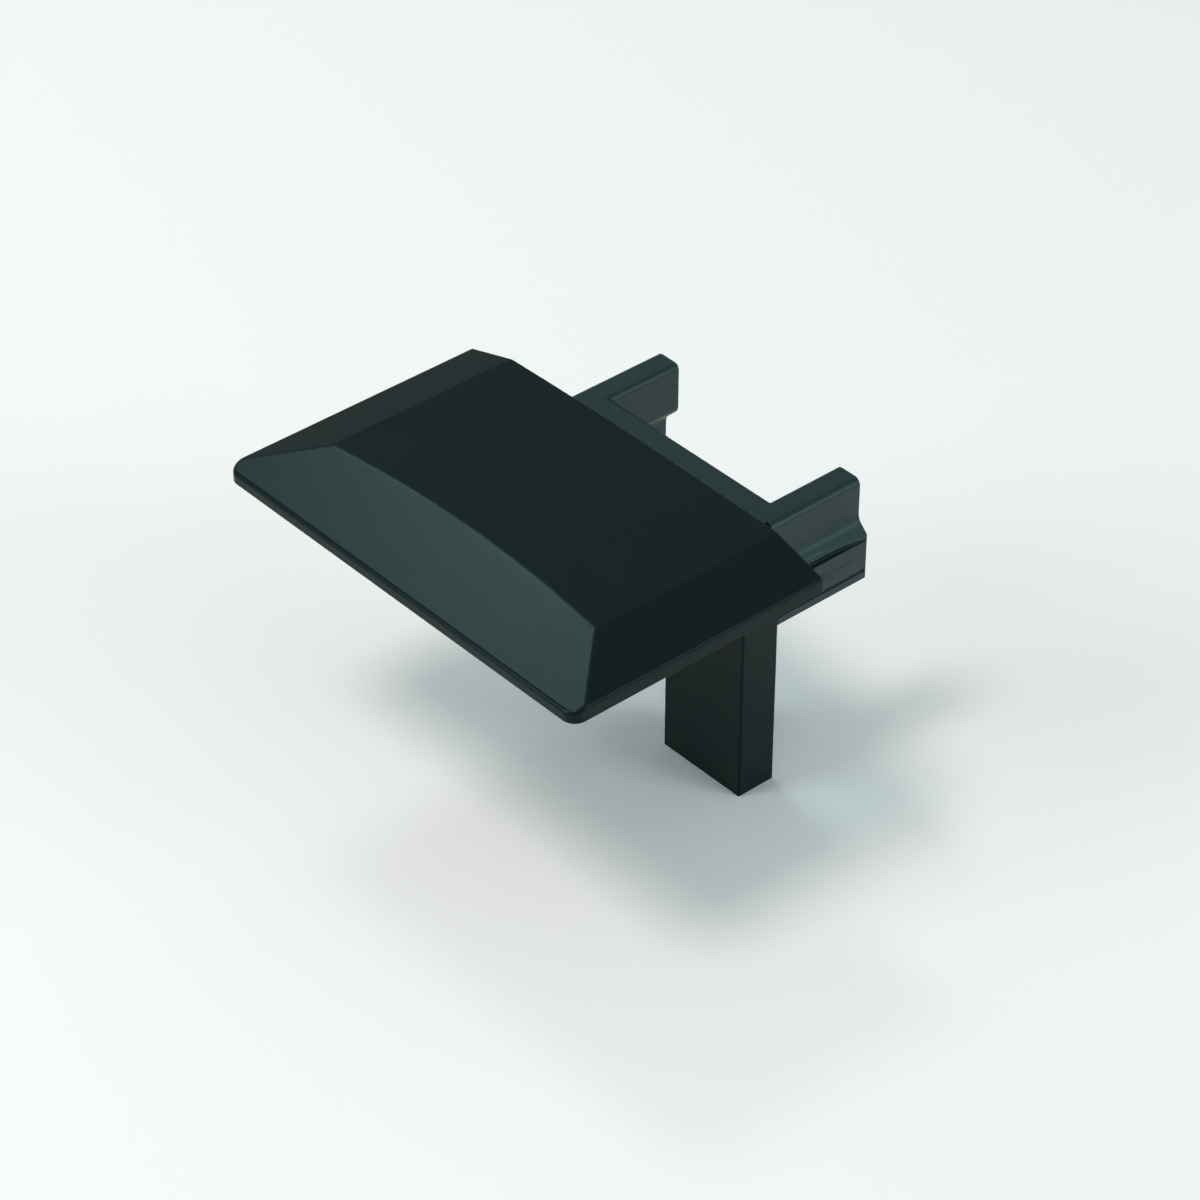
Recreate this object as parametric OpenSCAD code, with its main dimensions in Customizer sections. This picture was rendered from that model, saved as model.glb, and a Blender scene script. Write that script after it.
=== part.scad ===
// End cap for an aluminium profile, moulded in one piece.
// A domed cover closes the profile's top, an insert with two walls slides into its channel,
// and a leg hangs from one side of the insert.
// Millimetres. X runs across the profile, +Y goes into it, and +Z is up.
// The origin is where the cover's seat meets its flat underside, midway across.

/* [Cover] */
// Width of the cover across the profile
cover_w = 60; // [54:0.5:80]
// Length of the cover from its front edge back to the seat
cover_l = 36.2; // [28:0.1:60]
// Height of the rim along the front edge
front_rim = 1.45; // [1:0.05:2]
// Height of the rim along both sides
side_rim = 1.9; // [1.4:0.05:2.6]
// Height of the shoulder where a side bevel meets the domed top
shoulder_h = 4.1; // [3.4:0.1:6]
// Rise of the domed top between its shoulders
crown = 0.37; // [0.2:0.01:1.2]
// Width of each side bevel, seen from above
side_bevel = 7.4; // [5:0.1:10]
// Slope of the front bevel in degrees
front_slope = 15.4; // [11:0.1:25]
// Radius of the two front corners, seen from above
corner_r = 1.7; // [0.8:0.1:3]
// Radius along the top of the front rim
front_edge_r = 0.43; // [0.2:0.01:0.7]

/* [Insert] */
// Width of the insert across its upper flanks
flank_w = 34.6; // [30:0.1:36]
// Distance that each lower wall stands out past the upper flank
nose_step = 1.5; // [1.2:0.1:3]
// Height of each lower wall below its nose
lower_h = 6.2; // [5.4:0.1:10]
// Distance that the two walls reach past the seat
insert_l = 18.1; // [13:0.1:40]
// Thickness of each wall above its bend
upper_wall = 3.8; // [3:0.1:5]
// Thickness of each wall below its bend
lower_wall = 3.2; // [2.4:0.1:4]
// Depth below the cover at which the outside bends outwards
outer_bend_z = 5.5; // [4:0.1:6]
// Distance by which the inside bends lower than the outside
bend_drop = 1.05; // [0.2:0.05:1.6]
// Radius where the outside bends outwards
outer_bend_r = 1.8; // [0.8:0.1:2.4]
// Radius of the nose at the free end of a wall
nose_r = 0.5; // [0.2:0.1:1]
// Radius of the two bends in the inside
inner_bend_r = 1.2; // [0.8:0.1:2.4]
// Radius along the upper edges of the insert's outside
top_edge_r = 0.95; // [0.4:0.05:1.3]
// Radius along the upper edges of the insert's inside
inner_edge_r = 0.8; // [0.3:0.05:1.3]

/* [Grip grooves] */
// Length of plain wall left at the free end of each groove
end_margin = 0.4; // [0.2:0.1:1]
// Distance from the nose down to the lower edge of the undercut beneath it
undercut_h = 0.8; // [0.6:0.05:1]
// Depth of the undercut at its lower edge
undercut_d = 0.7; // [0.5:0.05:1]
// Angle of the undercut from upright
undercut_angle = 25; // [15:1:35]
// Radius of the lip above the undercut
lip_r = 0.8; // [0.4:0.05:0.9]
// Distance from the nose down to the middle of the middle groove
middle_groove = 2.8; // [2:0.05:3.2]
// Width of the middle groove at its mouth
middle_groove_w = 0.95; // [0.5:0.05:1.1]
// Depth of the middle groove
middle_groove_d = 0.35; // [0.1:0.05:0.5]
// Distance from the nose down to the middle of the low groove
low_groove = 4.85; // [4.2:0.05:4.9]
// Width of the low groove at its mouth
low_groove_w = 0.65; // [0.3:0.05:0.8]
// Depth of the low groove
low_groove_d = 0.3; // [0.1:0.05:0.5]

/* [Web and leg] */
// Distance that the web reaches forward of the seat, under the cover
web_front = 1.1; // [0.8:0.1:3]
// Distance from the seat back to the insert's full contour
web_back = 4.4; // [2.5:0.1:5]
// Thickness of the cross wall behind the web
cross_wall = 3.15; // [2:0.05:4]
// Radius in the root between the web and the cover's underside
root_r = 1; // [0.4:0.1:1.6]
// Width of the leg
leg_w = 13.1; // [8:0.1:17]
// Distance from the cover's underside down to the end of the leg
leg_l = 35.65; // [20:0.05:60]
// Radius of the leg's upright edges
leg_edge_r = 0.3; // [0.1:0.05:0.8]

/* [Hidden] */
$fn = 64;

// Extra length by which a cutter runs past the face that it cuts
over = 1;

half_w = cover_w / 2;
flat_half = half_w - side_bevel;
dome_r = (flat_half * flat_half + crown * crown) / (2 * crown);
// Height that clears the dome, for outlines that the dome then trims
cover_top = shoulder_h + crown + over;

flank_x = flank_w / 2;
nose_x = flank_x + nose_step;
upper_inner_x = flank_x - upper_wall;
lower_inner_x = nose_x - lower_wall;
set_in_x = flank_x - top_edge_r;

// Depths below the cover. Every slope in the walls is at 45 degrees.
nose_z = outer_bend_z + nose_step;
inner_bend_z = outer_bend_z + bend_drop;
lower_bend_z = inner_bend_z + lower_inner_x - upper_inner_x;
set_in_z = nose_z - (nose_x - set_in_x);
insert_h = nose_z + lower_h;

cross_back = web_back + cross_wall;

// Unit directions in an outline, for the corners that are rounded
LEFT = [-1, 0];
RIGHT = [1, 0];
UP = [0, 1];
DOWN = [0, -1];
DOWN_OUT = [sqrt(0.5), -sqrt(0.5)];
UP_IN = [-sqrt(0.5), sqrt(0.5)];
FRONT_RISE = [cos(front_slope), sin(front_slope)];

// The sliver between a sharp corner and the arc of radius r that rounds it.
// Taken away it rounds an outer corner, and added it fills an inner one.
module corner_sliver(corner, to_a, to_b, r) {
    half_angle = acos(to_a * to_b) / 2;
    tangent = r / tan(half_angle);
    middle = (to_a + to_b) / norm(to_a + to_b);
    difference() {
        polygon([corner, corner + tangent * to_a, corner + tangent * to_b]);
        translate(corner + middle * r / sin(half_angle)) circle(r);
    }
}

// Draws its outline on both sides of the middle
module both_sides() {
    children();
    mirror([1, 0]) children();
}

// Runs an outline drawn in X and Z back along +Y
module along_y(from, to) {
    translate([0, to, 0]) rotate([90, 0, 0]) linear_extrude(to - from) children();
}

// Outline of the cover seen from the front, below a flat line that the dome trims
module cover_front_outline() {
    both_sides() polygon([
        [0, 0],
        [half_w, 0],
        [half_w, side_rim],
        [flat_half, shoulder_h],
        [flat_half, cover_top],
        [0, cover_top]
    ]);
}

// Outline of the cover seen from the side, with the front bevel and its rounded edge
module cover_side_outline() {
    bevel_run = (cover_top - front_rim) / tan(front_slope);
    difference() {
        polygon([
            [-cover_l, 0],
            [0, 0],
            [0, cover_top],
            [-cover_l + bevel_run, cover_top],
            [-cover_l, front_rim]
        ]);
        corner_sliver([-cover_l, front_rim], DOWN, FRONT_RISE, front_edge_r);
    }
}

// Outline of the cover seen from above, with its two rounded front corners
module cover_plan() {
    difference() {
        translate([-half_w, -cover_l]) square([cover_w, cover_l]);
        both_sides() corner_sliver([half_w, -cover_l], LEFT, UP, corner_r);
    }
}

// The dome meets the front bevel in a curved ridge, where the two surfaces cross
module cover() {
    intersection() {
        along_y(-cover_l, 0) cover_front_outline();
        rotate([90, 0, 90]) translate([0, 0, -half_w]) linear_extrude(cover_w) cover_side_outline();
        linear_extrude(cover_top) cover_plan();
        translate([0, 0, shoulder_h + crown - dome_r]) rotate([90, 0, 0])
            cylinder(h = 2 * cover_l + 2 * over, r = dome_r, center = true, $fn = 2880);
    }
}

// One half of the insert's outside: upper flank, bend, slope, nose and lower wall
module outer_half() {
    difference() {
        union() {
            polygon([
                [0, 0],
                [flank_x, 0],
                [flank_x, -outer_bend_z],
                [nose_x, -nose_z],
                [nose_x, -insert_h],
                [0, -insert_h]
            ]);
            corner_sliver([flank_x, -outer_bend_z], UP, DOWN_OUT, outer_bend_r);
        }
        corner_sliver([flank_x, 0], LEFT, DOWN, top_edge_r);
        corner_sliver([nose_x, -nose_z], UP_IN, DOWN, nose_r);
    }
}

// The undercut beneath the nose. It leaves a rounded lip at the end of the slope.
module undercut() {
    rise = tan(undercut_angle);
    bottom = [nose_x - undercut_d, -nose_z - undercut_h];
    // The slope and the undercut meet in the tip of the lip, before it is rounded
    tip_drop = (undercut_h + undercut_d) / (1 + rise);
    tip = bottom + [tip_drop * rise, tip_drop];
    down_in = [-sin(undercut_angle), -cos(undercut_angle)];
    polygon([tip, bottom, [nose_x + over, bottom.y], [nose_x + over, tip.y]]);
    corner_sliver(tip, UP_IN, down_in, lip_r);
}

// A groove whose one side is level and whose other side slants back out to the wall's face.
// The level side is the upper one for level_side = 1, and the lower one for level_side = -1.
module groove(middle, width, depth, level_side) {
    polygon([
        [nose_x, middle + width / 2],
        [nose_x - depth, middle + level_side * width / 2],
        [nose_x, middle - width / 2],
        [nose_x + over, middle - width / 2],
        [nose_x + over, middle + width / 2]
    ]);
}

// One half of the space between the walls, which follows the same bend
module inner_half() {
    difference() {
        union() {
            polygon([
                [0, over],
                [upper_inner_x, over],
                [upper_inner_x, -inner_bend_z],
                [lower_inner_x, -lower_bend_z],
                [lower_inner_x, -insert_h - over],
                [0, -insert_h - over]
            ]);
            corner_sliver([upper_inner_x, -inner_bend_z], UP, DOWN_OUT, inner_bend_r);
            corner_sliver([upper_inner_x, 0], RIGHT, DOWN, inner_edge_r);
        }
        corner_sliver([lower_inner_x, -lower_bend_z], UP_IN, DOWN, inner_bend_r);
    }
}

// The space behind the cross wall seen from the side, wider at the wall's rounded upper edge
module behind_cross_wall() {
    translate([cross_back, -insert_h - over])
        square([insert_l + over - cross_back, insert_h + 2 * over]);
    corner_sliver([cross_back, 0], LEFT, DOWN, inner_edge_r);
}

// The space between the walls. Where its two outlines cross, their rounded edges meet in a mitre.
module cavity() {
    intersection() {
        along_y(cross_back - inner_edge_r, insert_l + over) both_sides() inner_half();
        rotate([90, 0, 90]) translate([0, 0, -nose_x]) linear_extrude(2 * nose_x) behind_cross_wall();
    }
}

// The cross wall and the two side walls that slide into the profile's channel
module insert() {
    difference() {
        along_y(web_back, insert_l) both_sides() outer_half();
        cavity();
        along_y(web_back, insert_l - end_margin) both_sides() {
            undercut();
            groove(-nose_z - middle_groove, middle_groove_w, middle_groove_d, 1);
            groove(-nose_z - low_groove, low_groove_w, low_groove_d, -1);
        }
    }
}

// The web under the cover. Above the nose it is set in by the radius of the insert's edge.
module web() {
    intersection() {
        along_y(-web_front, web_back) both_sides() polygon([
            [0, 0],
            [set_in_x, 0],
            [set_in_x, -set_in_z],
            [nose_x, -nose_z],
            [nose_x, -insert_h],
            [0, -insert_h]
        ]);
        translate([0, 0, -insert_h]) linear_extrude(insert_h) web_plan();
    }
    translate([-set_in_x, -web_front, 0]) rotate([90, 0, 90]) linear_extrude(2 * set_in_x)
        corner_sliver([0, 0], LEFT, DOWN, root_r);
}

// Outline of the web seen from above, with its two upright front edges rounded
module web_plan() {
    difference() {
        translate([-nose_x, -web_front]) square([2 * nose_x, web_front + web_back]);
        both_sides() corner_sliver([nose_x, -web_front], LEFT, UP, leg_edge_r);
    }
}

// The leg, flush with the web and with the insert's lower wall on the +X side
module leg() {
    translate([0, 0, -leg_l]) linear_extrude(leg_l - nose_z) leg_plan(nose_x - leg_w, nose_x);
}

// Outline of the leg seen from above, as thick as the web, with its four edges rounded
module leg_plan(left, right) {
    difference() {
        translate([left, -web_front]) square([right - left, web_front + web_back]);
        corner_sliver([left, -web_front], RIGHT, UP, leg_edge_r);
        corner_sliver([right, -web_front], LEFT, UP, leg_edge_r);
        corner_sliver([right, web_back], LEFT, DOWN, leg_edge_r);
        corner_sliver([left, web_back], RIGHT, DOWN, leg_edge_r);
    }
}

module end_cap() {
    color("#23292b") union() {
        cover();
        web();
        insert();
        leg();
    }
}

end_cap();
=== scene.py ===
# %% [markdown]
# # A moulded end cap for an aluminium profile
# The part is one piece of anthracite ABS: a domed cover, an insert with two bent walls that slides
# into the profile, and a leg that hangs from one side. The frame holds its true size and place. Its
# mesh is made for checks, with few faces on each curve, so this file models the skin again with
# finer curves and softened edges, and lays it over the frame.

# %% Load the frame
import math

import bmesh
import bpy
from mathutils import Matrix, Vector


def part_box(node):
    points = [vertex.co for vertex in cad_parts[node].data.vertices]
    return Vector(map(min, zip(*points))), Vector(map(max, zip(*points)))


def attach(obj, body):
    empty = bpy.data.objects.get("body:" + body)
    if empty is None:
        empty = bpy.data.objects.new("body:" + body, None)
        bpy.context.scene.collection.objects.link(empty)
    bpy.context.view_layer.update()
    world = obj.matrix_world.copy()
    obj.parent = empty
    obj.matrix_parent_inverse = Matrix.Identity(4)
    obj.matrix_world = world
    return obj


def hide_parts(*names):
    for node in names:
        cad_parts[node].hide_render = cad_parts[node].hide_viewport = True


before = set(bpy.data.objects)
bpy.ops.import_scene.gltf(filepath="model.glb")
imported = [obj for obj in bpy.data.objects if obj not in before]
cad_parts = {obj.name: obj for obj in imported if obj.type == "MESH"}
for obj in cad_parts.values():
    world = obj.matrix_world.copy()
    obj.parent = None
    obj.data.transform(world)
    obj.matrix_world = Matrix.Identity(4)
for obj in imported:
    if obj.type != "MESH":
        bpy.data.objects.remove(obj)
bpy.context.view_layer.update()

TO_MM, TO_METRES = 1000, 0.001
low, high = (corner * TO_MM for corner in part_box("end_cap"))
print("frame, mm:", [round(c, 2) for c in low], [round(c, 2) for c in high])

# %% [markdown]
# ## Sizes
# Lengths are in millimetres and become metres only when a mesh is made. X runs across the profile, Y
# along it and Z up. The overall sizes are read from the frame, so the skin reaches as far as it does.
# The others are sizes of the mould, and each is set in the cell that needs it first.

# %% Overall sizes
HALF_WIDTH = high.x
COVER_LENGTH = -low.y
INSERT_LENGTH = high.y
LEG_LENGTH = -low.z
CROWN_TOP = high.z
print("cover:", round(2 * HALF_WIDTH, 2), "by", round(COVER_LENGTH, 2), "mm")
print("insert:", round(INSERT_LENGTH, 2), "mm, leg:", round(LEG_LENGTH, 2), "mm")

# %% [markdown]
# ## From a mesh to an object
# A form starts as a bmesh, which is a mesh in the making: code adds its points and faces to it.
# Modifiers then do what would take long in code, such as rounding edges or joining solids. Each
# result is baked into the mesh at once, so the next step works on the shape as it is.

# %% Tools for objects
def new_object(name, form):
    """Turns a bmesh in millimetres into an object in metres, with its faces turned outwards."""
    bmesh.ops.recalc_face_normals(form, faces=form.faces)
    form.transform(Matrix.Scale(TO_METRES, 4))
    mesh = bpy.data.meshes.new(name)
    form.to_mesh(mesh)
    form.free()
    made = bpy.data.objects.new(name, mesh)
    bpy.context.scene.collection.objects.link(made)
    return made


def bake(piece):
    """Turns what an object's modifiers make into its own mesh."""
    shaped = piece.evaluated_get(bpy.context.evaluated_depsgraph_get())
    mesh = bpy.data.meshes.new_from_object(shaped)
    piece.modifiers.clear()
    piece.data = mesh
    return piece


def round_edges(piece, radius, steps):
    """Rounds the edges by their bevel weights: a weight of 1 gives the whole radius."""
    edges = piece.modifiers.new("edges", "BEVEL")
    edges.limit_method = "WEIGHT"
    edges.width = radius * TO_METRES
    edges.segments = steps
    edges.use_clamp_overlap = False
    return bake(piece)


print("a unit of the scene is a metre, and a millimetre is", TO_METRES)

# %% [markdown]
# ## The cover
# The cover is what stays in sight: a low dome, which meets a long front bevel in a curved ridge, and
# a bevel on each side. It could be cut from a block, but then its edges would have to be found again
# to round them. Here it is a cage with one face for each surface, so each edge is at hand by name.
# The ridge lies where the dome and the front bevel are equally high.

# %% Dome and front bevel
# A side bevel is this wide, and the dome meets it at this height.
SIDE_BEVEL = 7.4
SHOULDER = 4.1
# The front bevel rises from the top of the front rim at this slope.
FRONT_RIM = 1.45
FRONT_SLOPE = math.radians(15.4)
DOME_HALF = HALF_WIDTH - SIDE_BEVEL
CROWN = CROWN_TOP - SHOULDER
DOME_RADIUS = (DOME_HALF**2 + CROWN**2) / (2 * CROWN)


def dome_z(x):
    """Height of the dome at a distance from the middle."""
    return CROWN_TOP - DOME_RADIUS + math.sqrt(DOME_RADIUS**2 - x**2)


def bevel_z(y):
    """Height of the front bevel at a distance along the cover."""
    return FRONT_RIM + (y + COVER_LENGTH) * math.tan(FRONT_SLOPE)


def bevel_y(z):
    """Where the front bevel reaches a height."""
    return (z - FRONT_RIM) / math.tan(FRONT_SLOPE) - COVER_LENGTH


ridge_curve = bevel_y(CROWN_TOP) - bevel_y(SHOULDER)
print("dome radius:", round(DOME_RADIUS), "mm, the ridge curves by", round(ridge_curve, 2), "mm")

# %% Front corners
SIDE_RIM = 1.9
CORNER_RADIUS = 1.7
CORNER_STEPS = 6


def corner_plan():
    """The right front corner from above, from the end of the side rim to the front edge."""
    middle = Vector((HALF_WIDTH - CORNER_RADIUS, -COVER_LENGTH + CORNER_RADIUS))
    first = math.asin((middle.y - bevel_y(SIDE_RIM)) / CORNER_RADIUS)
    angles = [first + (math.pi / 2 - first) * i / CORNER_STEPS for i in range(CORNER_STEPS + 1)]
    return [middle + CORNER_RADIUS * Vector((math.cos(a), -math.sin(a))) for a in angles]


def mirror(points):
    """The same points on the other side, in the order that carries an outline on."""
    return [Vector((-p.x, p.y)) for p in reversed(points)]


front_corners = corner_plan() + mirror(corner_plan())
print("points round the two front corners:", len(front_corners))

# %% [markdown]
# ## The cage of the cover
# The dome is cut into strips, fine enough for a smooth curve. Its points lie in two rows, one along
# the seat, where the cover meets the profile, and one along the ridge. Another row goes round the
# rim, and the last one, the foot, lies straight below it on the flat underside.

# %% Points of the cover
DOME_STRIPS = 24

cage = bmesh.new()
weight = cage.edges.layers.float.new("bevel_weight_edge")
stations = [DOME_HALF * (2 * i / DOME_STRIPS - 1) for i in range(DOME_STRIPS + 1)]
seat = [cage.verts.new((x, 0, dome_z(x))) for x in stations]
ridge = [cage.verts.new((x, bevel_y(dome_z(x)), dome_z(x))) for x in stations]
turn = [cage.verts.new((p.x, p.y, bevel_z(p.y))) for p in front_corners]
side_right = cage.verts.new((HALF_WIDTH, 0, SIDE_RIM))
side_left = cage.verts.new((-HALF_WIDTH, 0, SIDE_RIM))
rim = [side_right, *turn, side_left]
foot = [cage.verts.new((v.co.x, v.co.y, 0)) for v in rim]
print("points of the cage:", len(cage.verts))

# %% Faces of the cover
for i in range(DOME_STRIPS):
    cage.faces.new((seat[i], seat[i + 1], ridge[i + 1], ridge[i]))
cage.faces.new((seat[-1], side_right, turn[0], ridge[-1]))
cage.faces.new((seat[0], ridge[0], turn[-1], side_left))
cage.faces.new((*ridge, *turn))
for i in range(len(rim) - 1):
    cage.faces.new((rim[i], foot[i], foot[i + 1], rim[i + 1]))
cage.faces.new((side_left, *seat, side_right, foot[0], foot[-1]))
cage.faces.new(foot)
print("faces of the cage:", len(cage.faces))

# %% [markdown]
# ## Soft edges on the cover
# A mould can't hold a knife edge, and the eye knows a moulded part by the thin highlights along its
# edges. The front rim is the softest, with nearly half a millimetre, and the ridges of the dome have
# about a quarter. A bevel weight is the radius of an edge as a share of the largest radius.

# %% Round the edges of the cover
FRONT_EDGE = 0.43
RIDGE_EDGE = 0.28
SIDE_EDGE = 0.2
SMALL_EDGE = 0.12
COVER_ROUNDING_STEPS = 5

chains = (
    ((*ridge, turn[0]), RIDGE_EDGE),
    ((ridge[0], turn[-1]), RIDGE_EDGE),
    ((seat[0], ridge[0]), RIDGE_EDGE),
    ((seat[-1], ridge[-1]), RIDGE_EDGE),
    (turn, FRONT_EDGE),
    ((side_right, turn[0]), SIDE_EDGE),
    ((side_left, turn[-1]), SIDE_EDGE),
    ((foot[-1], side_left, *seat, side_right, *foot), SMALL_EDGE),
)
for chain, radius in chains:
    for start, end in zip(chain, chain[1:]):
        cage.edges.get((start, end))[weight] = radius / FRONT_EDGE
cap = round_edges(new_object("cover", cage), FRONT_EDGE, COVER_ROUNDING_STEPS)
print("cover:", len(cap.data.polygons), "faces")

# %% [markdown]
# ## Outlines
# The other forms are straight runs, so each starts as an outline: a list of corners, of which each
# is turned with an arc of its own radius. A large arc gets a point every few degrees. A small one
# gets fewer, because chords of about a tenth of a millimetre look round already.

# %% Tools for outlines
# The angle between the points of an arc, and the shortest distance between them.
ARC_STEP = math.radians(7.5)
SHORTEST_CHORD = 0.12


def arc(centre, start, end):
    """Points on the arc from start to end, both given from the centre."""
    turn = start.angle(end)
    step = max(ARC_STEP, SHORTEST_CHORD / start.length)
    steps = max(2, round(turn / step))
    shares = [i / steps for i in range(steps + 1)]
    return [
        centre + (start * math.sin((1 - s) * turn) + end * math.sin(s * turn)) / math.sin(turn)
        for s in shares
    ]


def rounded(corners, closed=True):
    """An outline through (a, b, radius) corners, each turned with an arc of that radius."""
    points = []
    for i, (a, b, radius) in enumerate(corners):
        here = Vector((a, b))
        if radius == 0 or (not closed and i in (0, len(corners) - 1)):
            points.append(here)
            continue
        back = (Vector(corners[i - 1][:2]) - here).normalized()
        onward = (Vector(corners[(i + 1) % len(corners)][:2]) - here).normalized()
        half = back.angle(onward) / 2
        centre = here + (back + onward).normalized() * radius / math.sin(half)
        reach = radius / math.tan(half)
        points += arc(centre, here + back * reach - centre, here + onward * reach - centre)
    return points


quarter = arc(Vector((0, 0)), Vector((1, 0)), Vector((0, 1)))
print("a quarter turn of 1 mm radius takes", len(quarter), "points")

# %% [markdown]
# ## The insert
# The insert is the part that slides into the profile. It has the same section all along, with a bend
# in each side wall and a nose below the bend, so its outside is one outline drawn out along Y. The
# tool for that is a loft, which skins a row of outlines into a closed solid: with two equal outlines
# it is a plain extrusion, and the forms further down need more than two.

# %% Tools for solids
def loft(name, rings):
    """A closed solid through rings of points, each ring with as many points as the last."""
    form = bmesh.new()
    rows = [[form.verts.new(point) for point in ring] for ring in rings]
    for lower, upper in zip(rows, rows[1:]):
        for i in range(len(lower)):
            form.faces.new((lower[i - 1], lower[i], upper[i], upper[i - 1]))
    form.faces.new(rows[0])
    form.faces.new(rows[-1])
    return new_object(name, form)


def along_y(name, outline, front, back):
    """Runs an outline drawn in X and Z along Y."""
    return loft(name, [[(p.x, y, p.y) for p in outline] for y in (front, back)])


def combine(piece, other, operation):
    """Joins another solid to a piece, or cuts it away, and removes that other solid."""
    step = piece.modifiers.new(operation.lower(), "BOOLEAN")
    step.operation = operation
    step.solver = "EXACT"
    step.object = other
    bake(piece)
    bpy.data.objects.remove(other)
    return piece


# %% Outside of the insert
# The insert starts at the back of the web.
WEB_BACK = 4.4
# Half its width above the bend and below it. Heights are counted down from its level top.
FLANK_X = 17.3
NOSE_X = 18.8
OUTER_BEND_Z = -5.5
NOSE_Z = OUTER_BEND_Z - (NOSE_X - FLANK_X)
LOWER_WALL_HEIGHT = 6.2
INSERT_Z = NOSE_Z - LOWER_WALL_HEIGHT
TOP_EDGE_RADIUS = 0.95
OUTER_BEND_RADIUS = 1.8
NOSE_RADIUS = 0.5


def insert_outline():
    """The outside of the insert, seen along the profile."""
    right = rounded([
        (0, 0, 0),
        (FLANK_X, 0, TOP_EDGE_RADIUS),
        (FLANK_X, OUTER_BEND_Z, OUTER_BEND_RADIUS),
        (NOSE_X, NOSE_Z, NOSE_RADIUS),
        (NOSE_X, INSERT_Z, 0),
    ], closed=False)[1:]
    return right + mirror(right)


insert = along_y("insert", insert_outline(), WEB_BACK, INSERT_LENGTH)
print("insert:", 2 * NOSE_X, "mm wide,", round(-INSERT_Z, 2), "mm high")

# %% [markdown]
# ## The space between the walls
# The core of the mould leaves a space between the walls, which lets them spring. It could be one
# more outline drawn out along Y, but its upper edges would then be sharp. It is a loft of plans, one
# for each height. Each plan is a rectangle that opens out near the top, which rounds the upper edge
# of the side walls and of the cross wall in one sweep, with a mitre in the corners.

# %% Clear the space between the walls
# Thickness of the side walls above and below the bend, and of the cross wall.
UPPER_WALL = 3.8
LOWER_WALL = 3.2
CROSS_WALL = 3.15
CROSS_BACK = WEB_BACK + CROSS_WALL
# The inner bend lies lower than the outer one by this much.
BEND_OFFSET = 1.05
INNER_BEND_Z = OUTER_BEND_Z - BEND_OFFSET
INNER_BEND_RADIUS = 1.2
INNER_EDGE_RADIUS = 0.8
CAVITY_CORNER = 0.2
# A cutter reaches past the solid by this much, so that no face of one lies in a face of the other.
OVER = 1.0


def cavity_contour():
    """Half the width of the space between the walls, from below the insert to above its top."""
    upper_x = FLANK_X - UPPER_WALL
    lower_x = NOSE_X - LOWER_WALL
    return rounded([
        (lower_x, INSERT_Z - OVER, 0),
        (lower_x, INNER_BEND_Z - (lower_x - upper_x), INNER_BEND_RADIUS),
        (upper_x, INNER_BEND_Z, INNER_BEND_RADIUS),
        (upper_x, 0, INNER_EDGE_RADIUS),
        (upper_x + INNER_EDGE_RADIUS, 0, 0),
    ], closed=False) + [Vector((upper_x + INNER_EDGE_RADIUS, OVER))]


def cavity_plan(half, z):
    """The space between the walls at one height, open towards the free ends."""
    flare = max(0.0, half - (FLANK_X - UPPER_WALL)) if z > -INNER_EDGE_RADIUS else 0.0
    plan = rounded([
        (half, INSERT_LENGTH + OVER, 0),
        (half, CROSS_BACK - flare, CAVITY_CORNER),
        (-half, CROSS_BACK - flare, CAVITY_CORNER),
        (-half, INSERT_LENGTH + OVER, 0),
    ])
    return [(p.x, p.y, z) for p in plan]


combine(insert, loft("cavity", [cavity_plan(p.x, p.y) for p in cavity_contour()]), "DIFFERENCE")
print("insert:", len(insert.data.polygons), "faces")

# %% [markdown]
# ## The grip grooves
# Each lower wall has three recesses along it, which help it to grip in the profile: an undercut
# beneath the nose, a wide groove and a narrow one. One side of each is level and the other slants,
# so from above the wide one shows its lit slope and the other two are dark slots. The undercut
# leaves a rounded lip above it, so its outline starts where the lip's arc leaves the slope.

# %% Outlines of the recesses
LIP_RADIUS = 0.8
UNDERCUT_HEIGHT = 0.8
UNDERCUT_DEPTH = 0.7
UNDERCUT_ANGLE = math.radians(25)
# The height of the middle of each groove, its width and its depth.
WIDE_GROOVE_Z, WIDE_GROOVE_WIDTH, WIDE_GROOVE_DEPTH = NOSE_Z - 2.8, 0.95, 0.35
LOW_GROOVE_Z, LOW_GROOVE_WIDTH, LOW_GROOVE_DEPTH = NOSE_Z - 4.85, 0.65, 0.3
UPPER_SIDE, LOWER_SIDE = 1, -1


def undercut_outline():
    """What is cut away below the nose, around the rounded lip that stays above it."""
    rise = math.tan(UNDERCUT_ANGLE)
    bottom = Vector((NOSE_X - UNDERCUT_DEPTH, NOSE_Z - UNDERCUT_HEIGHT))
    drop = (UNDERCUT_HEIGHT + UNDERCUT_DEPTH) / (1 + rise)
    tip = bottom + Vector((rise, 1)) * drop
    up_the_slope = tip + Vector((-1, 1))
    lip = rounded([(*up_the_slope, 0), (*tip, LIP_RADIUS), (*bottom, 0)], closed=False)[1:]
    return lip + [Vector((NOSE_X + OVER, bottom.y)), Vector((NOSE_X + OVER, lip[0].y))]


def groove_outline(z, width, depth, level_side):
    """A groove of which the upper or the lower side is level and the other one slants."""
    return [
        Vector((NOSE_X + OVER, z + width / 2)),
        Vector((NOSE_X, z + width / 2)),
        Vector((NOSE_X - depth, z + level_side * width / 2)),
        Vector((NOSE_X, z - width / 2)),
        Vector((NOSE_X + OVER, z - width / 2)),
    ]


undercut = undercut_outline()
wide_groove = groove_outline(WIDE_GROOVE_Z, WIDE_GROOVE_WIDTH, WIDE_GROOVE_DEPTH, UPPER_SIDE)
low_groove = groove_outline(LOW_GROOVE_Z, LOW_GROOVE_WIDTH, LOW_GROOVE_DEPTH, LOWER_SIDE)
print("points of the undercut's outline:", len(undercut))

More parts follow.
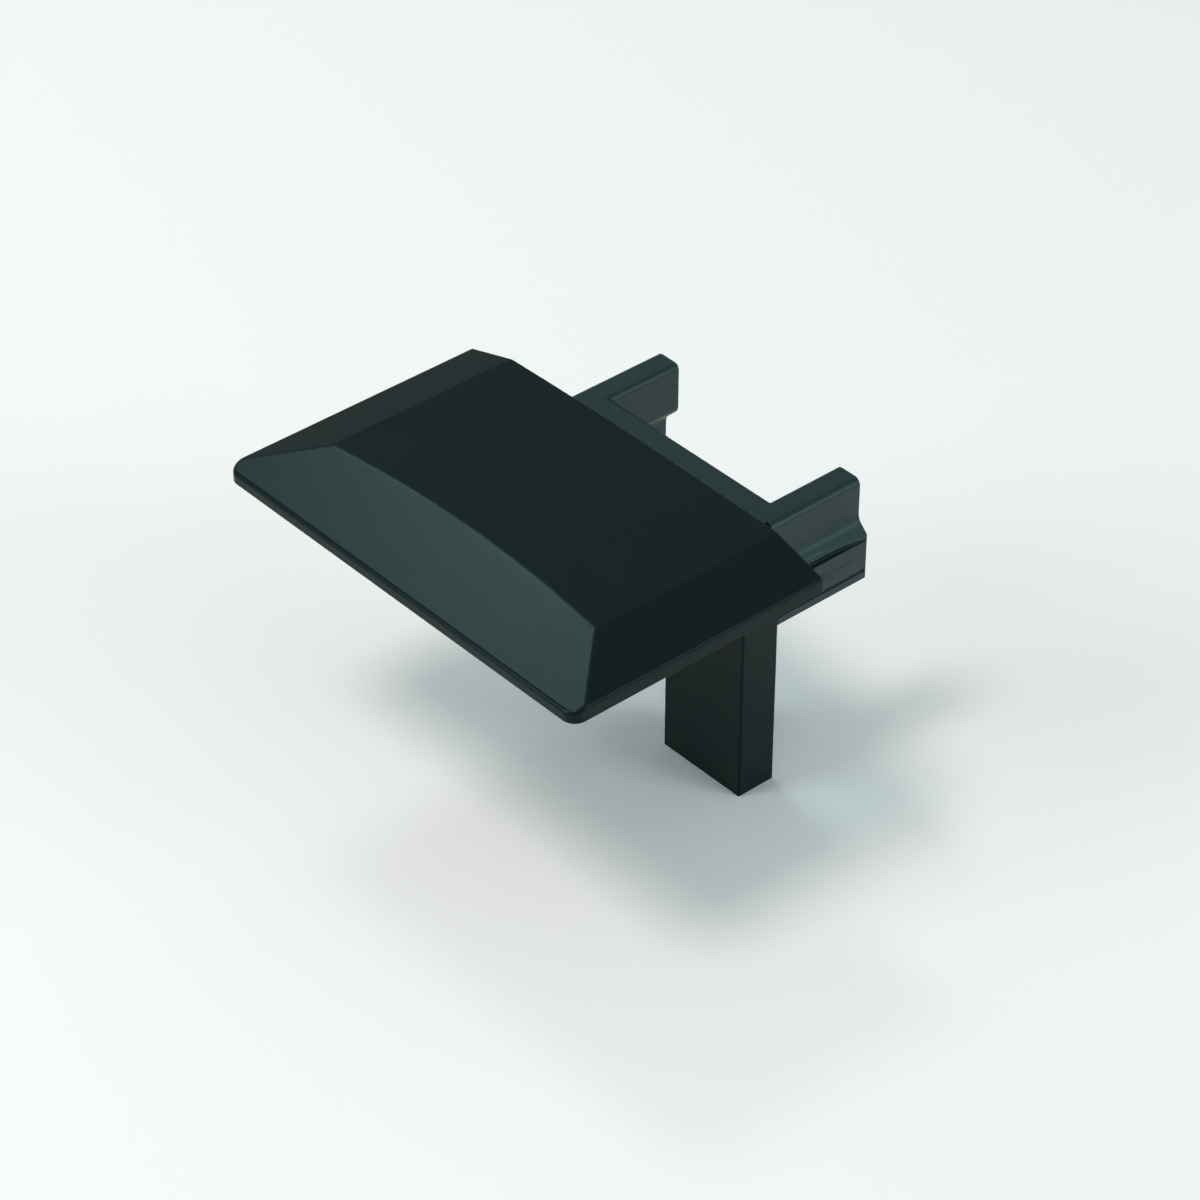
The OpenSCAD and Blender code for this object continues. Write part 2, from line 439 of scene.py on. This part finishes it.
# %% [markdown]
# ## Recesses that fade
# All three recesses stop just short of the free end. The undercut and the wide groove also grow
# shallower on the way, slowly at first, so that no kink shows where that begins. A cutter is a loft
# of one outline, which moves outwards by the square of the way along the fading stretch.

# %% Cut the recesses
# The recesses stop this far short of the free end, and fade from this distance behind the seat.
END_MARGIN = 0.25
FADE_START = 11.0
FADE_STEPS = 5
# What each recess has lost of its depth where it ends.
UNDERCUT_FADE, WIDE_GROOVE_FADE, LOW_GROOVE_FADE = 0.5, 0.35, 0.0


def recess(outline, fade, side):
    """A cutter that runs back from the web and curves outwards by the fade towards its free end."""
    run = INSERT_LENGTH - END_MARGIN - FADE_START
    shares = [i / FADE_STEPS for i in range(FADE_STEPS + 1)]
    stations = [(WEB_BACK, 0)] + [(FADE_START + run * s, fade * s**2) for s in shares]
    return loft("recess", [[(side * (p.x + out), y, p.y) for p in outline] for y, out in stations])


recesses = (
    (undercut, UNDERCUT_FADE),
    (wide_groove, WIDE_GROOVE_FADE),
    (low_groove, LOW_GROOVE_FADE),
)
for outline, fade in recesses:
    for side in (1, -1):
        combine(insert, recess(outline, fade, side), "DIFFERENCE")
print("recesses along each wall:", len(recesses))

# %% [markdown]
# ## The web and the leg
# A web under the back of the cover holds the three forms together, and the leg hangs from its right
# side. Web and leg are as thick as each other, so one outline makes both. Above the nose the web is
# set in by the radius of the insert's upper edge, which leaves a small dark step beside the cover.
# A fillet along the front of the web meets the underside of the cover.

# %% Build the web and the leg
# The front of the web and of the leg, a little under the cover.
WEB_FRONT = -1.1
LEG_WIDTH = 13.1
ROOT_RADIUS = 1.0
SET_IN_X = FLANK_X - TOP_EDGE_RADIUS


def web_outline():
    """The web and the leg seen along the profile."""
    shoulder = [
        Vector((SET_IN_X, 0)),
        Vector((SET_IN_X, NOSE_Z + NOSE_X - SET_IN_X)),
        Vector((NOSE_X, NOSE_Z)),
    ]
    leg = [
        Vector((NOSE_X, -LEG_LENGTH)),
        Vector((NOSE_X - LEG_WIDTH, -LEG_LENGTH)),
        Vector((NOSE_X - LEG_WIDTH, INSERT_Z)),
        Vector((-NOSE_X, INSERT_Z)),
    ]
    return shoulder + leg + mirror(shoulder)


def root_outline():
    """The fillet between the web and the cover, seen from the side and sunk into both."""
    foot = Vector((WEB_FRONT, -ROOT_RADIUS))
    toe = Vector((WEB_FRONT - ROOT_RADIUS, 0))
    centre = Vector((toe.x, foot.y))
    inside = [Vector((toe.x, SIDE_RIM / 2)), Vector((0, SIDE_RIM / 2)), Vector((0, foot.y))]
    return arc(centre, foot - centre, toe - centre) + inside


web = along_y("web", web_outline(), WEB_FRONT, WEB_BACK)
root = loft("root", [[(x, p.x, p.y) for p in root_outline()] for x in (-SET_IN_X, SET_IN_X)])
for part in (web, root, insert):
    combine(cap, part, "UNION")
print("joined:", len(cap.data.polygons), "faces")

# %% [markdown]
# ## One skin
# The forms are now one closed skin. Points that fell together at the joints are merged, and flat
# surfaces lose the edges that the joining left in them. The insert has a finish of its own, so its
# faces are told from the others first: the line between the two finishes then stays an edge.

# %% Clean the joints
# Two points closer than this are one point, and anything that near to a plane lies in it.
MERGE = 0.02
FLAT = math.radians(0.2)
# A face looks up when its normal has a larger Z than this.
LEVEL = 0.9


def is_insert(centre, normal):
    """Whether a face belongs to the insert: it lies behind the web or is part of its level top."""
    on_top = normal.z > LEVEL and abs(centre.z) < MERGE * TO_METRES
    return centre.y > WEB_BACK * TO_METRES or (on_top and centre.y > 0)


skin = bmesh.new()
skin.from_mesh(cap.data)
bmesh.ops.remove_doubles(skin, verts=skin.verts, dist=MERGE * TO_METRES)
for face in skin.faces:
    face.material_index = int(is_insert(face.calc_center_median(), face.normal))
bmesh.ops.dissolve_limit(
    skin, angle_limit=FLAT, verts=skin.verts, edges=skin.edges, delimit={"MATERIAL"}
)
print("cleaned:", len(skin.faces), "faces")

# %% [markdown]
# ## Edges to round
# Each edge that is still sharp is broken a little, and the upright edges of the leg and of the web
# more. Three groups are left alone. The cover and the lip are round already, and where the insert
# leaves the web, rounding the many short edges would draw a thin dark line across the wall.

# %% Tell the edges apart
# The lip reaches this share of its radius above and below the nose.
LIP_SHARE = 0.9


def ends(edge):
    """The two ends of an edge, in millimetres."""
    return [vert.co * TO_MM for vert in edge.verts]


def is_upright_edge(edge):
    """Whether an edge is one of the upright edges of the leg or of the web."""
    start, end = ends(edge)
    upright = math.hypot(start.x - end.x, start.y - end.y) < MERGE
    on_corner = abs(start.x) > NOSE_X - MERGE or abs(start.x - NOSE_X + LEG_WIDTH) < MERGE
    return upright and on_corner and WEB_FRONT - MERGE < start.y < WEB_BACK + MERGE


def is_on_cover(edge):
    """Whether an edge belongs to the cover."""
    return all(p.z > -MERGE and p.y < MERGE for p in ends(edge))


def is_at_web_joint(edge):
    """Whether an edge lies where the outside of the insert leaves the back of the web."""
    return all(
        abs(p.y - WEB_BACK) < MERGE and abs(p.x) > SET_IN_X - MERGE and p.z > INSERT_Z + MERGE
        for p in ends(edge)
    )


def is_on_lip(edge):
    """Whether an edge lies on the lip above the undercut."""
    return all(
        abs(p.x) > NOSE_X - LIP_RADIUS
        and abs(p.z - NOSE_Z) < LIP_SHARE * LIP_RADIUS
        and WEB_BACK + MERGE < p.y < INSERT_LENGTH - MERGE
        for p in ends(edge)
    )


left_alone = {
    edge for edge in skin.edges if is_on_cover(edge) or is_at_web_joint(edge) or is_on_lip(edge)
}
print("edges left alone:", len(left_alone), "of", len(skin.edges))

# %% Round the edges of the skin
SHARP = math.radians(40)
LEG_EDGE = 0.3
ROUNDING_STEPS = 3

weight = skin.edges.layers.float.get("bevel_weight_edge")
for edge in skin.edges:
    edge[weight] = 0.0
    if edge.calc_face_angle(0) > SHARP and edge not in left_alone:
        edge[weight] = 1.0 if is_upright_edge(edge) else SMALL_EDGE / LEG_EDGE
skin.to_mesh(cap.data)
skin.free()
round_edges(cap, LEG_EDGE, ROUNDING_STEPS)
print("rounded:", len(cap.data.polygons), "faces")

# %% [markdown]
# ## Even light on flat faces
# Smooth shading blends the light across an edge, which is right on a rounded edge and wrong in a
# corner. The corners that stay are marked sharp, and weighted normals let each large flat face keep
# its own direction, so the light is even on it and turns only on the rounded edges. The piece then
# takes the place of the plain one, which is hidden, and rides on the same body.

# %% Shade the skin and hand it to the frame
skin = bmesh.new()
skin.from_mesh(cap.data)
bmesh.ops.delete(skin, geom=[edge for edge in skin.edges if edge.is_wire], context="EDGES")
for edge in skin.edges:
    edge.smooth = edge.calc_face_angle(0) < SHARP
open_edges = sum(not edge.is_manifold for edge in skin.edges)
volume = skin.calc_volume() * TO_MM**3
skin.to_mesh(cap.data)
skin.free()

cap.data.shade_smooth()
cap.modifiers.new("even_light", "WEIGHTED_NORMAL").keep_sharp = True
cap.name = "end_cap_skin"
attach(cap, "root")
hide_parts("end_cap")
print("skin:", len(cap.data.polygons), "faces,", open_edges, "open edges,", round(volume), "mm3")

# %% [markdown]
# ## The camera
# The photo was taken from the front right, well above the part. The camera's place, turn and focal
# length were fitted to the straight edges of the cap, so they are numbers here. Its long lens keeps
# the edges nearly parallel, as a product photo does. The camera looks at a target point: a matrix
# turns it, and then backs it off along its own axis. Lamps are placed by the same function later.

# %% Camera
# Metres and degrees, and millimetres of focal length on Blender's own sensor, 36 mm wide.
TARGET = Vector((0.00926, -0.01427, -0.00579))
DISTANCE = 0.47323
AZIMUTH, ELEVATION, ROLL = (math.radians(a) for a in (48.667, 37.188, 0.221))
FOCAL_LENGTH = 127.14


def aimed(azimuth, elevation, distance):
    """The place and turn of something that looks back from this direction."""
    turn = Matrix.Rotation(azimuth, 4, "Z") @ Matrix.Rotation(math.pi / 2 - elevation, 4, "X")
    return turn @ Matrix.Translation((0, 0, distance))


lens = bpy.data.cameras.new("camera")
lens.lens = FOCAL_LENGTH
camera = bpy.data.objects.new("camera", lens)
bpy.context.scene.collection.objects.link(camera)
camera.matrix_world = Matrix.Translation(TARGET) @ aimed(AZIMUTH, ELEVATION, 0)
camera.matrix_world @= Matrix.Rotation(ROLL, 4, "Z") @ Matrix.Translation((0, 0, DISTANCE))
bpy.context.scene.camera = camera
print("camera at", [round(c, 3) for c in camera.matrix_world.translation], "m")

# %% [markdown]
# ## Colour and nodes
# Colours are written as sRGB hex values, as a picker shows them, and one function turns them into
# the linear values that Blender mixes. A second one adds a node, fills in its sockets and links it,
# so each material below reads from its first texture down to its output.

# %% Tool for colours
def linear(code):
    """A linear colour from an sRGB hex value."""
    parts = [int(code[i:i + 2], 16) / 255 for i in (1, 3, 5)]
    return tuple(c / 12.92 if c <= 0.04045 else ((c + 0.055) / 1.055) ** 2.4 for c in parts) + (1.0,)


print("a middle grey of the picker, linear:", round(linear("#808080")[0], 3))

# %% Tools for materials
def add(tree, kind, settings=None, links=None):
    """Adds a node, gives its sockets and options their values, and links outputs to its sockets."""
    node = tree.nodes.new(kind)
    for name, value in (settings or {}).items():
        if isinstance(name, int) or name in node.inputs:
            node.inputs[name].default_value = value
        else:
            setattr(node, name, value)
    for name, output in (links or {}).items():
        tree.links.new(output, node.inputs[name])
    return node


def new_material(name):
    """A material with an empty node tree."""
    made = bpy.data.materials.new(name)
    made.use_nodes = True
    made.node_tree.nodes.clear()
    return made


def scale_for(width):
    """A texture scale, which counts cells in a metre, for cells of this width in millimetres."""
    return TO_MM / width


print("a texture scale for cells of 2 mm:", scale_for(2))

# %% [markdown]
# ## The finishes of the ABS
# The cap is ABS, coloured right through with an anthracite pigment that leans to teal. Its gloss
# comes from the steel of the mould. The cover, the web and the leg are dark and calm, with a clear
# highlight along the front edge, as polished steel leaves them. The insert is paler all over, as a
# surface from spark eroded steel is, because its fine grain gathers light from every side. Both are
# the same plastic, so one function makes them, and only the grain and the gloss differ much.

# %% Moulded ABS
# Polymer and pigment flow into the mould in soft clouds, some millimetres across.
PIGMENT_CLOUD = 6.0
ABS_IOR = 1.54
# The highlights of the cap are cooler than the room that they show.
ABS_TINT = (0.66, 1.0, 1.02, 1.0)
GLOSS_SPREAD = 0.03
# A Mix node holds its two colours, and its result, in these places when it mixes colours.
MIX_A, MIX_B, MIX_COLOUR = 6, 7, 2


def moulded_abs(name, dark, light, roughness, specular, grain, depth):
    """ABS from a mould whose surface has a grain of this width and depth, in millimetres."""
    made = new_material(name)
    tree = made.node_tree
    place = add(tree, "ShaderNodeTexCoord").outputs["Object"]
    cloud = add(
        tree, "ShaderNodeTexNoise",
        {"Scale": scale_for(PIGMENT_CLOUD), "Detail": 1.0},
        {"Vector": place},
    )
    pigment = add(
        tree, "ShaderNodeMix",
        {"data_type": "RGBA", MIX_A: linear(dark), MIX_B: linear(light)},
        {"Factor": cloud.outputs["Fac"]},
    )
    pits = add(
        tree, "ShaderNodeTexNoise",
        {"Scale": scale_for(grain), "Detail": 2.0},
        {"Vector": place},
    )
    gloss = add(
        tree, "ShaderNodeMapRange",
        {"To Min": roughness - GLOSS_SPREAD, "To Max": roughness + GLOSS_SPREAD},
        {"Value": pits.outputs["Fac"]},
    )
    relief = add(
        tree, "ShaderNodeBump",
        {"Distance": depth * TO_METRES},
        {"Height": pits.outputs["Fac"]},
    )
    shader = add(
        tree, "ShaderNodeBsdfPrincipled",
        {"IOR": ABS_IOR, "Specular IOR Level": specular, "Specular Tint": ABS_TINT},
        {
            "Base Color": pigment.outputs[MIX_COLOUR],
            "Roughness": gloss.outputs["Result"],
            "Normal": relief.outputs["Normal"],
        },
    )
    add(tree, "ShaderNodeOutputMaterial", None, {"Surface": shader.outputs["BSDF"]})
    return made


mirrored_light = ((ABS_IOR - 1) / (ABS_IOR + 1)) ** 2
print("plain ABS mirrors", round(100 * mirrored_light, 1), "% of the light that meets it straight on")

# %% The two finishes
# Polished steel leaves only faint waves, about half a millimetre wide: the eye gets a dark surface
# with a narrow, calm highlight. The specular level is matched to the photo, where the cover shows
# hardly any of the room.
polished_abs = moulded_abs(
    "abs_polished_mould", dark="#091314", light="#0c1718",
    roughness=0.3, specular=0.12, grain=0.6, depth=0.002,
)
# Eroded steel leaves pits about 0.05 mm wide. A pixel of the render covers 0.12 mm, so they are
# drawn four times as wide: the eye gets a paler, satin surface that gathers light from all round.
eroded_abs = moulded_abs(
    "abs_eroded_mould", dark="#0a1516", light="#0d1819",
    roughness=0.45, specular=0.5, grain=0.2, depth=0.003,
)
print("finishes:", polished_abs.name, "and", eroded_abs.name)

# %% Lay the finishes on the skin
cap.data.materials.clear()
cap.data.materials.append(polished_abs)
cap.data.materials.append(eroded_abs)
for face in cap.data.polygons:
    face.material_index = int(is_insert(face.center, face.normal))
eroded = sum(face.material_index for face in cap.data.polygons)
print("faces from eroded steel:", eroded, "from polished steel:", len(cap.data.polygons) - eroded)

# %% [markdown]
# ## The floor
# A product photo stands on one wide pale sheet, whose far edge never comes into view. The floor is
# a thin slab of matt card just under the leg, with an off-white colour of its own: the background
# gets its brightness from this colour and not from more light. Card has a soft tooth, which a fine
# bump gives it.

# %% Pale card floor
FLOOR_HALF = 2000
FLOOR_THICKNESS = 3
# The tooth of uncoated card is one or two tenths of a millimetre wide. It is too fine to show, so
# it is drawn several times as wide.
CARD_TOOTH = 0.8
CARD_TOOTH_DEPTH = 0.005


def matt_card(name, colour):
    """Uncoated card: it spreads light evenly and shows no highlight."""
    made = new_material(name)
    tree = made.node_tree
    place = add(tree, "ShaderNodeTexCoord").outputs["Object"]
    tooth = add(
        tree, "ShaderNodeTexNoise",
        {"Scale": scale_for(CARD_TOOTH), "Detail": 2.0},
        {"Vector": place},
    )
    relief = add(
        tree, "ShaderNodeBump",
        {"Distance": CARD_TOOTH_DEPTH * TO_METRES},
        {"Height": tooth.outputs["Fac"]},
    )
    shader = add(
        tree, "ShaderNodeBsdfPrincipled",
        {"Base Color": linear(colour), "Roughness": 0.95, "Specular IOR Level": 0.2},
        {"Normal": relief.outputs["Normal"]},
    )
    add(tree, "ShaderNodeOutputMaterial", None, {"Surface": shader.outputs["BSDF"]})
    return made


sheet = [(x * FLOOR_HALF, y * FLOOR_HALF) for x, y in ((-1, -1), (1, -1), (1, 1), (-1, 1))]
depths = (-LEG_LENGTH - FLOOR_THICKNESS, -LEG_LENGTH)
floor = loft("floor", [[(x, y, z) for x, y in sheet] for z in depths])
floor.data.materials.append(matt_card("uncoated_card", "#f6f1f0"))
print("floor top at", round(-LEG_LENGTH, 2), "mm")

# %% [markdown]
# ## The lamps
# The shadow to the back right comes from one lamp high at the front, the key. It is a little warm.
# Low discs in front, at the left and behind on the right fill the shadow from the sides, and they
# are cool, because the photo's shadow is teal. A small disc on the left stands where the front bevel
# mirrors it, so the bevel is paler than the top. Together with the room they light a white card just
# short of white.

# %% Lamps
WARM, COOL = "#fff0ee", "#e9ffff"
# Name, azimuth and elevation in degrees, width of the disc in metres, power in watts, colour.
LAMPS = (
    ("key", -15, 64, 0.3, 3.95, WARM),
    ("left", -105, 51, 0.2, 1.25, COOL),
    ("front", -24, 25, 0.5, 3.7, COOL),
    ("right", 115, 22, 0.5, 3.1, COOL),
    ("left_low", -95, 15, 0.5, 0.8, COOL),
)
LAMP_DISTANCE = 1.0

total_power = 0.0
for name, azimuth, elevation, width, power, colour in LAMPS:
    light = bpy.data.lights.new(name, "AREA")
    light.shape = "DISK"
    light.size = width
    light.energy = power
    light.color = linear(colour)[:3]
    lamp = bpy.data.objects.new(name, light)
    bpy.context.scene.collection.objects.link(lamp)
    lamp.matrix_world = aimed(math.radians(azimuth), math.radians(elevation), LAMP_DISTANCE)
    total_power += power
print("lamps:", len(LAMPS), "together", round(total_power, 1), "W")

# %% [markdown]
# ## The room
# The world stands for the room. It is dark at the horizon and pale above, as a studio with a white
# ceiling is, so surfaces that look up are lit softly and upright ones stay darker. The shade comes
# from the height of a direction, not from where the camera stands.

# %% Room
HORIZON, CEILING = "#393f3f", "#a3b3b3"
# The height of a direction from which the room is as pale as its ceiling, where 1 is straight up.
CEILING_HEIGHT = 0.65

room = bpy.data.worlds.new("room")
room.use_nodes = True
room.node_tree.nodes.clear()
bpy.context.scene.world = room
tree = room.node_tree
outwards = add(tree, "ShaderNodeTexCoord").outputs["Generated"]
height = add(tree, "ShaderNodeSeparateXYZ", None, {"Vector": outwards}).outputs["Z"]
share = add(tree, "ShaderNodeMapRange", {"From Max": CEILING_HEIGHT}, {"Value": height})
shade = add(
    tree, "ShaderNodeMix",
    {"data_type": "RGBA", MIX_A: linear(HORIZON), MIX_B: linear(CEILING)},
    {"Factor": share.outputs["Result"]},
)
sky = add(tree, "ShaderNodeBackground", None, {"Color": shade.outputs[MIX_COLOUR]})
add(tree, "ShaderNodeOutputWorld", None, {"Surface": sky.outputs["Background"]})
bpy.context.scene.view_settings.view_transform = "Standard"
print("room:", len(tree.nodes), "nodes, view:", bpy.context.scene.view_settings.view_transform)
